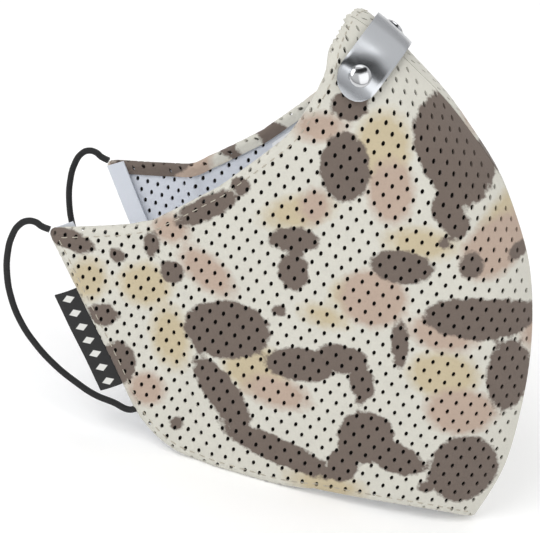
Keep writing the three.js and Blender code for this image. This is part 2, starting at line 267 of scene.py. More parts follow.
    def cloth_back(self, flat: np.ndarray) -> np.ndarray:
        """The cloth length from the seam to points of the flat cut."""
        level = flat @ ACROSS
        return (flat - self.crest(level)) @ BACK + self.most_spare(level)

    def relief(self, points: np.ndarray) -> np.ndarray:
        """How far the cloth sinks at side-view points: creases and soft waves."""
        x, z = points[:, 0], points[:, 1]
        waves = 0.22 * np.sin(x / 9.0 + z / 17.0) * np.sin(z / 11.0 - x / 23.0 + 1.0)
        waves += 0.12 * np.sin(x / 5.3 - z / 6.1)
        crease = self._near(points, self.share(-0.81, 0.49), self.share(-0.58, 0.0))
        cheek = 0.9 * np.exp(-((crease / 3.0) ** 2))
        pinch = self._near(points, self.share(-0.56, 0.79), self.share(-0.45, 0.82))
        nose = 0.6 * np.exp(-((pinch / 2.2) ** 2))
        return 0.35 + waves + cheek + nose

    @staticmethod
    def _near(points: np.ndarray, start: np.ndarray, end: np.ndarray) -> np.ndarray:
        """The distance of each point from a straight line between two points."""
        way = end - start
        part = np.clip((points - start) @ way / (way @ way), 0, 1)
        return np.linalg.norm(points - start - part[:, None] * way, axis=1)

    def layer(self, points: np.ndarray, depth: float) -> np.ndarray:
        """Points of a cloth layer, at a depth below the rested skin."""
        sunk = depth + self.relief(points)
        return self.skin(points) + self.inward(points) * sunk[:, None]

    def placed(self, points: np.ndarray, side: Side) -> np.ndarray:
        """Takes right-half millimetres to row-frame metres on a side."""
        moved = points + [self.chin_x, 0, 0]
        return moved * [MM, -side.value * MM, MM]


SHAPE = MaskShape()


# Colours and materials


def linear(colour: str) -> tuple[float, float, float, float]:
    """Turns an sRGB hex colour into linear RGBA."""
    parts = [int(colour[k : k + 2], 16) / 255 for k in (1, 3, 5)]
    return (*(((c + 0.055) / 1.055) ** 2.4 if c > 0.04 else c / 12.92 for c in parts), 1.0)


def add_node(tree: Any, kind: str, settings: dict | None = None) -> Any:
    """Adds a shader node with its settings and links.

    Args:
        tree: The node tree.
        kind: The node's type.
        settings: Attribute names, or socket names and numbers, with values or sockets to link.

    Returns:
        The new node.
    """
    node = tree.nodes.new(kind)
    for name, value in (settings or {}).items():
        if isinstance(name, str) and hasattr(node, name) and name not in node.inputs:
            setattr(node, name, value)
        elif isinstance(value, bpy.types.NodeSocket):
            tree.links.new(value, node.inputs[name])
        else:
            node.inputs[name].default_value = value
    return node


@dataclass(frozen=True)
class Finish:
    """A material: what it is made of and how it was finished."""

    name: str
    colour: str
    roughness: float = 0.8
    metallic: float = 0.0
    sheen: float = 0.0
    coat: float = 0.0

    def make(self) -> Any:
        """Makes the Blender material, with its pattern.

        Returns:
            The material.
        """
        found = bpy.data.materials.get(self.name)
        if found:
            return found
        material = bpy.data.materials.new(self.name)
        material.use_nodes = True
        tree = material.node_tree
        shader = tree.nodes["Principled BSDF"]
        shader.inputs["Base Color"].default_value = linear(self.colour)
        shader.inputs["Roughness"].default_value = self.roughness
        shader.inputs["Metallic"].default_value = self.metallic
        shader.inputs["Sheen Weight"].default_value = self.sheen
        shader.inputs["Coat Weight"].default_value = self.coat
        material.diffuse_color = linear(self.colour)
        self.pattern(tree, shader)
        return material

    def pattern(self, tree: Any, shader: Any) -> None:
        """Adds the finish's own pattern to the shader."""

    def mottle(self, tree: Any, where: Any, scale: float, spread: float, colour: Any) -> Any:
        """Varies a colour's brightness a little with soft noise.

        Args:
            tree: The node tree.
            where: The coordinate socket.
            scale: The noise's scale.
            spread: How far the brightness varies.
            colour: A socket or a linear colour.

        Returns:
            The colour socket.
        """
        noise = add_node(tree, "ShaderNodeTexNoise", {"Vector": where, "Scale": scale, "Detail": 3.0})
        span = {"Value": noise.outputs["Fac"], "To Min": 1 - spread, "To Max": 1 + spread}
        level = add_node(tree, "ShaderNodeMapRange", span)
        hue = add_node(tree, "ShaderNodeHueSaturation", {"Value": level.outputs[0], "Color": colour})
        return hue.outputs[0]

    def bump(self, tree: Any, shader: Any, height: Any, strength: float, rise: float) -> None:
        """Links a height pattern to the shader's normal.

        Args:
            tree: The node tree.
            shader: The Principled shader.
            height: The height socket.
            strength: The bump's strength.
            rise: The height of a full step, in metres.
        """
        settings = {"Height": height, "Strength": strength, "Distance": rise}
        node = add_node(tree, "ShaderNodeBump", settings)
        tree.links.new(node.outputs[0], shader.inputs["Normal"])


KNIT_PITCH = 0.6  # millimetres: real stitches are about 0.4, drawn coarser so that they show


@dataclass(frozen=True)
class KnitFinish(Finish):
    """A plain warp knit: rows of fine loops, soft and matt."""

    def pattern(self, tree: Any, shader: Any) -> None:
        """Adds the loops and a slight unevenness of colour."""
        place = add_node(tree, "ShaderNodeUVMap", {"uv_map": "cut"}).outputs[0]
        tone = self.mottle(tree, place, 9.0, 0.05, linear(self.colour))
        tree.links.new(tone, shader.inputs["Base Color"])
        self.loops(tree, shader, place)

    def loops(self, tree: Any, shader: Any, place: Any) -> None:
        """Adds the knit's relief along the cut."""
        scale = CUT_SCALE / KNIT_PITCH
        cells = add_node(tree, "ShaderNodeTexVoronoi", {"Vector": place, "Scale": scale})
        self.bump(tree, shader, cells.outputs["Distance"], 0.35, 0.00012)


@dataclass(frozen=True)
class CamoFinish(KnitFinish):
    """Printed camouflage on a perforated polyester knit."""

    tan: str = "#BDB093"
    rose: str = "#B29E8F"
    brown: str = "#6A5E56"
    ragged: float = 2.6  # millimetres that a patch's edge wanders

    def pattern(self, tree: Any, shader: Any) -> None:
        """Lays the printed patches over the ground, with broken edges."""
        place = add_node(tree, "ShaderNodeUVMap", {"uv_map": "cut"}).outputs[0]
        wave = {"Vector": place, "Scale": 42.0, "Detail": 3.0, "Roughness": 0.6}
        noise = add_node(tree, "ShaderNodeTexNoise", wave)
        colour = linear(self.colour)
        edges = (("tan", self.tan, 1.6), ("rose", self.rose, 1.3), ("brown", self.brown, 0.35))
        for name, ink, softness in edges:
            depth = add_node(tree, "ShaderNodeAttribute", {"attribute_name": name})
            wander = {"operation": "MULTIPLY_ADD", 0: noise.outputs["Fac"], 1: self.ragged}
            edge = add_node(tree, "ShaderNodeMath", {**wander, 2: depth.outputs["Fac"]})
            span = {"From Min": self.ragged / 2 - softness, "From Max": self.ragged / 2 + softness}
            span["Value"] = edge.outputs[0]
            cover = add_node(tree, "ShaderNodeMapRange", span)
            blend = {"data_type": "RGBA", 0: cover.outputs[0], 6: colour, 7: linear(ink)}
            colour = add_node(tree, "ShaderNodeMix", blend).outputs[2]
        tone = self.mottle(tree, place, 14.0, 0.07, colour)
        tree.links.new(self.mottle(tree, place, 160.0, 0.06, tone), shader.inputs["Base Color"])
        self.loops(tree, shader, place)


@dataclass(frozen=True)
class FeltFinish(Finish):
    """A needled felt: fibres with no direction."""

    def pattern(self, tree: Any, shader: Any) -> None:
        """Adds the fibres."""
        place = add_node(tree, "ShaderNodeTexCoord").outputs["Object"]
        fibre = add_node(tree, "ShaderNodeTexNoise", {"Vector": place, "Scale": 1800.0, "Detail": 4.0})
        self.bump(tree, shader, fibre.outputs["Fac"], 0.5, 0.0002)
        tone = self.mottle(tree, place, 300.0, 0.15, linear(self.colour))
        tree.links.new(tone, shader.inputs["Base Color"])


@dataclass(frozen=True)
class BraidFinish(Finish):
    """A round braid or a woven tape: short crossing ribs."""

    pitch: float = 0.7

    def pattern(self, tree: Any, shader: Any) -> None:
        """Adds two crossing sets of ribs at the thread's pitch in millimetres."""
        place = add_node(tree, "ShaderNodeTexCoord").outputs["Object"]
        ribs = []
        for direction in ("DIAGONAL", "Z"):
            wave = {"Vector": place, "Scale": 314 / self.pitch, "bands_direction": direction}
            ribs.append(add_node(tree, "ShaderNodeTexWave", wave).outputs["Fac"])
        both = add_node(tree, "ShaderNodeMath", {"operation": "MAXIMUM", 0: ribs[0], 1: ribs[1]})
        self.bump(tree, shader, both.outputs[0], 0.5, 0.00015)
        tone = self.mottle(tree, place, 400.0, 0.12, linear(self.colour))
        tree.links.new(tone, shader.inputs["Base Color"])


@dataclass(frozen=True)
class LabelFinish(Finish):
    """A satin-woven tape with a plain row of light diamonds."""

    thread: str = "#D8D8D4"

    def pattern(self, tree: Any, shader: Any) -> None:
        """Weaves a row of diamonds along the middle of the tape."""
        place = add_node(tree, "ShaderNodeUVMap", {"uv_map": "UVMap"}).outputs[0]
        axes = add_node(tree, "ShaderNodeSeparateXYZ", {0: place})
        count = add_node(tree, "ShaderNodeMath", {"operation": "MULTIPLY", 0: axes.outputs[1], 1: 7.0})
        turn = add_node(tree, "ShaderNodeMath", {"operation": "PINGPONG", 0: count.outputs[0], 1: 0.5})
        centre = add_node(tree, "ShaderNodeMath", {"operation": "SUBTRACT", 0: axes.outputs[0], 1: 0.5})
        aside = add_node(tree, "ShaderNodeMath", {"operation": "ABSOLUTE", 0: centre.outputs[0]})
        reach = {"operation": "SUBTRACT", 0: turn.outputs[0], 1: aside.outputs[0]}
        inside = add_node(tree, "ShaderNodeMath", reach)
        span = {"Value": inside.outputs[0], "From Min": 0.22, "From Max": 0.25}
        cover = add_node(tree, "ShaderNodeMapRange", span)
        mix = {"data_type": "RGBA", 0: cover.outputs[0], 6: linear(self.colour), 7: linear(self.thread)}
        tree.links.new(add_node(tree, "ShaderNodeMix", mix).outputs[2], shader.inputs["Base Color"])
        weft = {"Vector": place, "Scale": 24.0, "bands_direction": "Y"}
        wave = add_node(tree, "ShaderNodeTexWave", weft)
        self.bump(tree, shader, wave.outputs["Fac"], 0.3, 0.0001)


@dataclass(frozen=True)
class MetalFinish(Finish):
    """A plated or polished metal, with faint rubbing marks."""

    marks: float = 0.06

    def pattern(self, tree: Any, shader: Any) -> None:
        """Varies the polish as handling does."""
        place = add_node(tree, "ShaderNodeTexCoord").outputs["Object"]
        noise = add_node(tree, "ShaderNodeTexNoise", {"Vector": place, "Scale": 260.0, "Detail": 4.0})
        low, high = self.roughness - self.marks, self.roughness + self.marks
        span = {"Value": noise.outputs["Fac"], "To Min": low, "To Max": high}
        rub = add_node(tree, "ShaderNodeMapRange", span)
        tree.links.new(rub.outputs[0], shader.inputs["Roughness"])
        self.bump(tree, shader, noise.outputs["Fac"], 0.08, 0.00005)


# Perforated polyester knit: a matt sand ground with soft printed patches.
CAMO = CamoFinish("printed_polyester_mesh", "#CCCAC0", 0.88, sheen=0.1)
# Activated-carbon felt: near-black and matt, seen only through the holes.
FELT = FeltFinish("carbon_felt", "#1E1B19", 0.95)
# White polyester mesh: bright, slightly blue, matt.
LINING = KnitFinish("white_polyester_mesh", "#D5D9E1", 0.85, sheen=0.1)
# Brushed white tricot: a little whiter and smoother than the mesh.
POCKET = KnitFinish("white_tricot", "#EEEFF1", 0.9, sheen=0.1)
# Braided elastic: black, dull, with a fine crossing rib.
ELASTIC = BraidFinish("black_braided_elastic", "#0E0E10", 0.7)
# Cotton twill tape: off-white with a close rib.
TWILL = BraidFinish("white_twill_tape", "#E2E1DD", 0.85, pitch=0.9)
# Polyester thread: off-white, a little glossier than the cloth.
THREAD = BraidFinish("sand_polyester_thread", "#B3AC9D", 0.65, pitch=0.5)
# Black satin-woven label tape: smooth, low sheen.
LABEL = LabelFinish("black_woven_label", "#101012", 0.55)
# Polished aluminium strip: bright, with soft reflections.
ALUMINIUM = MetalFinish("polished_aluminium", "#C3C6CA", 0.2, 1.0)
# Nickel-plated steel: a mirror with a warm grey tint.
NICKEL = MetalFinish("nickel_plated_steel", "#C9CACC", 0.14, 1.0, marks=0.04)


# Making meshes


def pick_none() -> None:
    """Deselects everything, in object mode."""
    for other in bpy.context.selected_objects:
        other.select_set(False)


def new_object(name: str, points: np.ndarray, faces: Sequence[Sequence[int]], finish: Finish) -> Any:
    """Makes a mesh object at the origin.

    Args:
        name: The piece's name.
        points: Its corners in row-frame metres.
        faces: Its faces, as corner numbers.
        finish: What it is made of.

    Returns:
        The object.
    """
    mesh = bpy.data.meshes.new(name)
    mesh.from_pydata([tuple(p) for p in points.tolist()], [], [tuple(f) for f in faces])
    mesh.update()
    piece = bpy.data.objects.new(name, mesh)
    bpy.context.scene.collection.objects.link(piece)
    piece.data.materials.append(finish.make())
    return piece


def grid_faces(rows: int, columns: int) -> list[list[int]]:
    """The four-sided faces of a grid whose corners are numbered row by row."""
    faces = []
    for row in range(rows - 1):
        for column in range(columns - 1):
            corner = row * columns + column
            faces.append([corner, corner + 1, corner + 1 + columns, corner + columns])
    return faces


def pick(piece: Any) -> None:
    """Selects one object alone and makes it active."""
    pick_none()
    piece.select_set(True)
    bpy.context.view_layer.objects.active = piece


def apply_modifiers(piece: Any, angle: float = 50.0) -> None:
    """Applies every modifier of a piece and shades it smooth below an angle."""
    pick(piece)
    for modifier in list(piece.modifiers):
        bpy.ops.object.modifier_apply(modifier=modifier.name)
    bpy.ops.object.shade_smooth_by_angle(angle=math.radians(angle))


def thicken(piece: Any, thickness: float, rounding: float = 0.0) -> None:
    """Gives a sheet its thickness, below its outer face, in millimetres.

    Args:
        piece: The sheet.
        thickness: How thick it becomes.
        rounding: The radius of its edges, or none.
    """
    solid = piece.modifiers.new("thickness", "SOLIDIFY")
    solid.thickness = thickness * MM
    solid.offset = -1
    if rounding:
        bevel = piece.modifiers.new("edges", "BEVEL")
        bevel.width = rounding * MM
        bevel.segments = 3
        bevel.limit_method = "ANGLE"
        bevel.angle_limit = math.radians(50)
    apply_modifiers(piece)


def face_outward(piece: Any, inside: Vector) -> None:
    """Turns an open sheet's faces away from a point inside the mask."""
    mesh = piece.data
    score = sum((face.center - inside).dot(face.normal) * face.area for face in mesh.polygons)
    if score < 0:
        mesh.flip_normals()


def fold_span(side: Side, half: float = 6.0) -> tuple[Vector, Vector]:
    """Where the cloth starts and ends bending at the cheek fold.

    Args:
        side: The mask's side.
        half: Half the width of the bend, in millimetres.

    Returns:
        The start and end points, in metres.
    """
    name = f"cheek_fold_{side.word}"
    joint = next(j for j in frame["joints"] if j["name"] == name)
    axis, place = Vector(joint["axis"]), Vector(joint["pos_m"])
    back = Vector((BACK[0], 0, BACK[1]))
    back = (back - axis * back.dot(axis)).normalized() * half * MM
    return place - back, place + back


def bend(piece: Any, side: Side) -> None:
    """Works out the cheek fold's span and bakes the piece's placement into its mesh."""
    start, end = fold_span(side)
    tuple(start)
    tuple(end)
    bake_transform(piece)


# The print


# Each patch is x, z, half length, half height and tilt, in millimetres and degrees.
# They are placed in the side view of the right half.
BROWN = [
    (-123, 55, 8, 3, -8), (-101, 60, 2.3, 3.8, 14), (-94, 54, 3.4, 3.2, 0), (-89, 75, 10, 3.2, 44),
    (-82, 84, 2.6, 2.4, 0), (-65, 73, 6.6, 3.6, 14), (-63, 64, 4.2, 5.4, 14), (-64, 52, 1.9, 1.8, 0),
    (-57, 97, 6.6, 9.8, 14), (-60, 114, 5, 4, 20), (-32, 107, 15, 7.5, -48), (-29, 94, 4, 6.4, 10),
    (-25, 89, 2.8, 3.6, 0), (-27, 84, 1.7, 1.7, 0), (-19, 79, 3, 4, 14), (-9, 83, 2.2, 2.2, 0),
    (-36, 74, 8.4, 4.8, 10), (-31, 52, 2.3, 7, 16), (-13, 64, 14.5, 6.2, 6), (-2, 48, 5.2, 11, 12),
    (-76, 42, 11.6, 8.6, 12), (-73, 23, 12.5, 4.6, -44), (-55, 11, 17, 4, -10), (-55, 38, 9.6, 5, 12),
    (-45, 43, 7.5, 4.2, 8), (-38, 38, 3.4, 5.8, 24), (-37, 32, 1.4, 1.4, 0), (-33, 22, 7.6, 8, 0),
    (-24, 18, 8, 4.6, -12), (-37, 12, 4.4, 5.4, 0), (-14, 11, 2.2, 2, 0), (-6, 18, 8.6, 11, 10),
    (-109, 36, 4.2, 3.4, 10), (-102, 23, 4.8, 6.6, 10), (-109, 54, 2.2, 2, 0), (-83, 10, 2, 2, 0),
]
TAN = [
    (-49, 105, 7, 10, 14), (-66, 81, 9, 4.5, 30), (-100, 48, 7, 6, 0), (-66, 33, 9, 7, 0),
    (-18, 46, 9, 7, 0), (-40, 5, 10, 4, 0), (-33, 82, 9, 4.5, 10), (-90, 35, 5, 9, 20),
    (-46, 62, 6, 5, 0), (-14, 92, 5, 8, -20), (-115, 45, 5, 6, 0), (-52, 54, 6, 3, 0),
]
ROSE = [
    (-44, 94, 6, 9, 14), (-41, 63, 9, 8.4, 0), (-15, 84, 7, 9, -20), (-85, 57, 9, 4.6, -30),
    (-11, 36, 9, 7, 0), (-59, 28, 9, 4.4, 0), (-21, 58, 9, 5, 0), (-66, 106, 7, 4, 20),
    (-97, 66, 5, 4, 0), (-62, 84, 4, 5, 0), (-93, 18, 5, 5, 0), (3, 62, 5, 7, 0),
]
TURNED_PRINT = np.array([-127.0, 125.0])  # the far half is cut from cloth turned end for end


def patch_field(points: np.ndarray, patches: Sequence[tuple], side: Side) -> np.ndarray:
    """How far inside the nearest printed patch each point lies.

    Args:
        points: Side-view points.
        patches: The patches of one colour.
        side: The mask's side.

    Returns:
        Millimetres, positive inside a patch and no less than -8.
    """
    spots = points if side is Side.RIGHT else TURNED_PRINT - points
    best = np.full(len(points), -8.0)
    for x, z, half_long, half_high, tilt in patches:
        away = spots - [x, z]
        turn = math.radians(tilt)
        along = away[:, 0] * math.cos(turn) + away[:, 1] * math.sin(turn)
        rise = away[:, 1] * math.cos(turn) - away[:, 0] * math.sin(turn)
        ratio = np.hypot(along / half_long, rise / half_high)
        best = np.maximum(best, (1 - ratio) * min(half_long, half_high))
    return best


# Cutting and sewing the cloth


def inside_ring(points: np.ndarray, ring: np.ndarray) -> np.ndarray:
    """Tells which points lie inside a closed outline."""
    x, z = points[:, 0], points[:, 1]
    within = np.zeros(len(points), bool)
    for (ax, az), (bx, bz) in zip(ring, np.roll(ring, -1, axis=0)):
        if az == bz:
            continue
        crosses = (az > z) != (bz > z)
        within ^= crosses & (x < (bx - ax) * (z - az) / (bz - az) + ax)
    return within


def nearest(points: np.ndarray, line: np.ndarray) -> tuple[np.ndarray, np.ndarray, np.ndarray]:
    """Finds the nearest points of a finely drawn line.

    Args:
        points: The points to measure from.
        line: The line's points.

    Returns:
        The nearest points, their distances and their numbers in the line.
    """
    tree = kdtree.KDTree(len(line))
    for number, (x, z) in enumerate(line):
        tree.insert((x, z, 0), number)
    tree.balance()
    found = [tree.find((x, z, 0))[1:] for x, z in points]
    chosen = np.array([number for number, _ in found], int)
    return line[chosen], np.array([distance for _, distance in found]), chosen


@dataclass
class Cut:
    """One half's piece of cloth, cut flat and laid on the mask."""

    name: str
    side: Side
    layer: Layer
    finish: Finish
    thickness: float
    inset: float = 0.0
    turn_in: float = 0.0
    seam_gap: float = 0.3
    holed: bool = True
    front_only: bool = False
    shift: tuple[float, float] = (0.0, 0.0)
    hem_radius: float = 1.6
    pitch: tuple[float, float] = (3.95, 2.85)
    hole: tuple[float, float] = (0.5, 0.8)
    row_tilt: float = 6.0
    pocket_back: float = 1.5  # the pocket's rear edge, in front of the cheek fold
    narrow_from: float = -60.0  # where the rows of holes start to narrow towards the ear
    narrowing: float = 217.0
    lattice_rows: tuple[int, int] = (-24, 66)
    lattice_steps: tuple[int, int] = (-110, 20)
    corner_points: int = 3  # points given up on each side of a corner to round it
    rim_step: int = 3  # every third fine point is kept on the outline
    hole_corners: int = 8
    hole_edge: float = 0.93  # triangles nearer a hole's middle than this share are left out
    clear_of_rim: float = 1.3
    between_clear: float = 0.6
    row_spacing: float = 1.6  # between the points of a row that keeps the hem round
    middle_gap: float = 0.12  # how near the cloth comes to the other half
    ring: np.ndarray = field(default_factory=lambda: np.zeros((0, 2)))

    def edges(self) -> list[np.ndarray]:
        """Where the cloth starts to turn on the flat cut: top, ear and bottom."""
        lines = [SHAPE.unfold(even(line, FINE)) for line in (SHAPE.top, SHAPE.ear, SHAPE.bottom)]
        if not self.turn_in:
            return lines
        whole = np.vstack(lines)
        moved = []
        for line in lines:
            inner = line - self.outward(line) * self.hem_radius
            clear = nearest(inner, whole)[1] >= self.hem_radius - SLACK
            moved.append(inner[clear & (SHAPE.cloth_back(inner) > self.seam_gap)])
        for one, other in ((0, 1), (1, 2)):
            middle = (moved[one][-1] + moved[other][0]) / 2
            moved[one] = np.vstack([moved[one][: -self.corner_points], middle])
            moved[other] = np.vstack([middle, moved[other][self.corner_points :]])
        return moved

    def seam_edge(self, gap: float) -> np.ndarray:
        """The flat cut's seam edge, from chin to nose."""
        seam = even(SHAPE.seam, FINE)
        level = seam @ ACROSS
        return seam - BACK * (SHAPE.most_spare(level) - gap)[:, None]

    @staticmethod
    def outward(edge: np.ndarray) -> np.ndarray:
        """The directions out of the cloth along an edge of the flat cut."""
        along = np.gradient(edge, axis=0)
        out = np.stack([along[:, 1], -along[:, 0]], 1)
        return out / np.linalg.norm(out, axis=1)[:, None]

    def outward_at_corners(self, edges: list[np.ndarray]) -> np.ndarray:
        """The outward directions of all the edges, shared where two edges meet."""
        ways = [self.outward(edge) for edge in edges]
        for one, other in zip(ways, ways[1:]):
            between = one[-1] + other[0]
            one[-1] = other[0] = between / np.linalg.norm(between)
        return np.vstack(ways)

    def outline(self, offset: float) -> np.ndarray:
        """Draws the cut's closed outline.

        Args:
            offset: How far outside the turned edges it runs; negative is inside.

        Returns:
            The outline's points, from the chin up the seam and round.
        """
        edges = self.edges()
        whole = np.vstack(edges)
        seam = self.seam_edge(self.seam_gap)
        if offset < 0:
            seam = seam[nearest(seam, whole)[1] > -offset]
        rim = []
        for edge in edges:
            moved = edge + self.outward(edge) * offset
            clear = nearest(moved, whole)[1] >= abs(offset) - SLACK
            ahead = SHAPE.cloth_back(moved) > self.seam_gap if offset <= 0 else clear
            rim.append(moved[clear & ahead])
        ring = np.vstack([line[:: self.rim_step] for line in [seam] + rim])
        if self.front_only:
            behind = (SHAPE.fold(ring) - SHAPE.fold_bottom) @ self.fold_out()
            ring = ring[behind < -self.pocket_back]
        keep = np.linalg.norm(ring - np.roll(ring, 1, axis=0), axis=1) > 0.2
        return ring[keep]

    @staticmethod
    def fold_out() -> np.ndarray:
        """The direction square to the fold line, towards the ear."""
        way = SHAPE.fold_top - SHAPE.fold_bottom
        way /= np.linalg.norm(way)
        return np.array([-way[1], way[0]])

    def lattice(self) -> tuple[np.ndarray, np.ndarray]:
        """Sets out the holes' centres and the points between them.

        Returns:
            The holes' centres and the points between, on the flat cut.
        """
        turn = math.radians(self.row_tilt)
        row_way = np.array([math.cos(turn), math.sin(turn)])
        up_way = np.array([-math.sin(turn), math.cos(turn)])
        start, spread = self.narrow_from, self.narrowing
        centres, between = [], []
        for row in range(*self.lattice_rows):
            for step in range(*self.lattice_steps):
                along = (step + 0.5 * (row % 2)) * self.pitch[0] + self.shift[0]
                for half, where in ((0.0, centres), (self.pitch[0] / 2, between)):
                    mark = along + half
                    if mark < start:
                        mark = start - spread * (1 - math.exp((mark - start) / spread))
                    rise = row * self.pitch[1] + self.shift[1]
                    where.append(row_way * mark + up_way * rise)
        return np.array(centres), np.array(between)

    def triangles(self) -> tuple[np.ndarray, np.ndarray]:
        """Triangulates the flat cut around its holes.

        Returns:
            The flat points and the triangles.
        """
        self.ring = self.outline(self.turn_in if self.turn_in else -self.inset)
        centres, between = self.lattice()
        centres = centres[inside_ring(centres, self.ring)]
        between = between[inside_ring(between, self.ring)]
        fine_ring = even(np.vstack([self.ring, self.ring[:1]]), FINE)
        centres = centres[nearest(centres, fine_ring)[1] > self.clear_of_rim]
        between = between[nearest(between, fine_ring)[1] > self.between_clear]
        points, edges = [self.ring], [(k, (k + 1) % len(self.ring)) for k in range(len(self.ring))]
        count = len(self.ring)
        if self.holed:
            corners = self.hole_corners
            angles = np.arange(corners) * 2 * math.pi / corners
            oval = np.stack([np.cos(angles) * self.hole[0], np.sin(angles) * self.hole[1]], 1)
            for centre in centres:
                points.append(centre + oval)
                edges += [(count + k, count + (k + 1) % corners) for k in range(corners)]
                count += corners
        else:
            points.append(centres)
        points.append(between)
        points.append(self.hem_rows(centres))
        flat = [Vector(p) for p in np.vstack(points).tolist()]
        made = geometry.delaunay_2d_cdt(flat, edges, [], 0, 1e-5, False)
        out = np.array([tuple(v) for v in made[0]])
        faces = np.array([tuple(f) for f in made[2]], int)
        middle = out[faces].mean(axis=1)
        keep = inside_ring(middle, self.ring)
        if self.holed:
            spot = nearest(middle, centres)[0]
            keep &= np.hypot(*((middle - spot) / self.hole).T) > self.hole_edge
        return out, faces[keep]

    def hem_rows(self, centres: np.ndarray) -> np.ndarray:
        """Rows of points that keep the turned hem round.

        Args:
            centres: The holes' centres, which the rows keep clear of.

        Returns:
            The rows' points on the flat cut.
        """
        if not self.turn_in:
            return np.zeros((0, 2))
        rows = []
        for share in (0.0, 0.17, 0.34, 0.5, 0.66, 0.83, 1.0):
            line = self.outline(share * math.pi * self.hem_radius)
            line = even(np.vstack([line, line[:1]]), self.row_spacing)
            rows.append(line[SHAPE.cloth_back(line) > self.seam_gap + 0.8])
        points = np.vstack(rows)
        points = points[inside_ring(points, self.ring)]
        edge = nearest(points, np.vstack(self.edges()))[1]
        clear = nearest(points, centres)[1] > max(self.hole) + 0.25
        return points[clear & (edge < math.pi * self.hem_radius + 0.2)]

    def laid(self, flat: np.ndarray, depth: float) -> np.ndarray:
        """Lays flat points on the mask, turning the hem in past the edges.

        Args:
            flat: Points of the flat cut.
            depth: The layer's depth below the skin.

        Returns:
            Right-half points in millimetres.
        """
        points = SHAPE.layer(SHAPE.fold(flat), depth)
        if self.turn_in:
            edges = self.edges()
            border = np.vstack(edges)
            outward = self.outward_at_corners(edges)
            edge, distance, number = nearest(flat, border)
            past = np.sum((flat - edge) * outward[number], axis=1)
            over = (past > 0) & (distance > 0.02)
            points[over] = self.turned(flat[over], edge[over], distance[over], depth)
        points[:, 1] = np.minimum(points[:, 1], -self.middle_gap)
        return points

    def turned(self, flat: np.ndarray, edge: np.ndarray, past: np.ndarray, depth: float) -> np.ndarray:
        """Wraps cloth round an edge and back inside.

        Args:
            flat: Flat points outside the edge.
            edge: The nearest edge points.
            past: Their distances.
            depth: The layer's depth below the skin.

        Returns:
            Right-half points in millimetres.
        """
        base = SHAPE.fold(edge)
        normal = SHAPE.inward(base)
        away = (flat - edge) / past[:, None]
        out = SHAPE.skin(base + away * 0.1) - SHAPE.skin(base - away * 0.1)
        out -= normal * np.sum(out * normal, axis=1)[:, None]
        out /= np.linalg.norm(out, axis=1)[:, None]
        radius = self.hem_radius
        angle = np.minimum(past / radius, math.pi)
        flat_run = np.maximum(past - math.pi * radius, 0)
        start = SHAPE.layer(base, depth)
        sideways = radius * np.sin(angle) - flat_run
        return start + out * sideways[:, None] + normal * (radius * (1 - np.cos(angle)))[:, None]

    def sew(self) -> Any:
        """Makes the piece of cloth.

        Returns:
            The finished mesh object.
        """
        flat, faces = self.triangles()
        depth = self.layer.value
        points = SHAPE.placed(self.laid(flat, depth), self.side)
        piece = new_object(self.name, points, faces.tolist(), self.finish)
        uv = piece.data.uv_layers.new(name="cut")
        loops = np.zeros(len(piece.data.loops), int)
        piece.data.loops.foreach_get("vertex_index", loops)
        uv.data.foreach_set("uv", (flat[loops] / CUT_SCALE).ravel())
        if isinstance(self.finish, CamoFinish):
            folded = SHAPE.fold(flat)
            for name, patches in (("tan", TAN), ("rose", ROSE), ("brown", BROWN)):
                field_values = patch_field(folded, patches, self.side)
                layer = piece.data.attributes.new(name, "FLOAT", "POINT")
                layer.data.foreach_set("value", field_values)
        self.face_out(piece, flat, faces)
        thicken(piece, self.thickness)
        LOG.info("%s: %d faces, cut %.1f x %.1f mm", self.name, len(piece.data.polygons), *self.cut_size())
        return piece

    def face_out(self, piece: Any, flat: np.ndarray, faces: np.ndarray) -> None:
        """Turns the faces outward, judged by the cloth beside the mask's middle."""
        spot = np.argmin(np.linalg.norm(flat[faces].mean(axis=1) - [-60, 50], axis=1))
        if piece.data.polygons[int(spot)].normal.y * self.side.value < 0:
            piece.data.flip_normals()

    def cut_size(self) -> tuple[float, float]:
        """The cut's width and height in millimetres."""
        width, height = np.ptp(self.ring, axis=0)
        return float(width), float(height)

    def declare(self) -> None:
        """Measures the cut's width and height; nothing uses them."""
        width, height = self.cut_size()


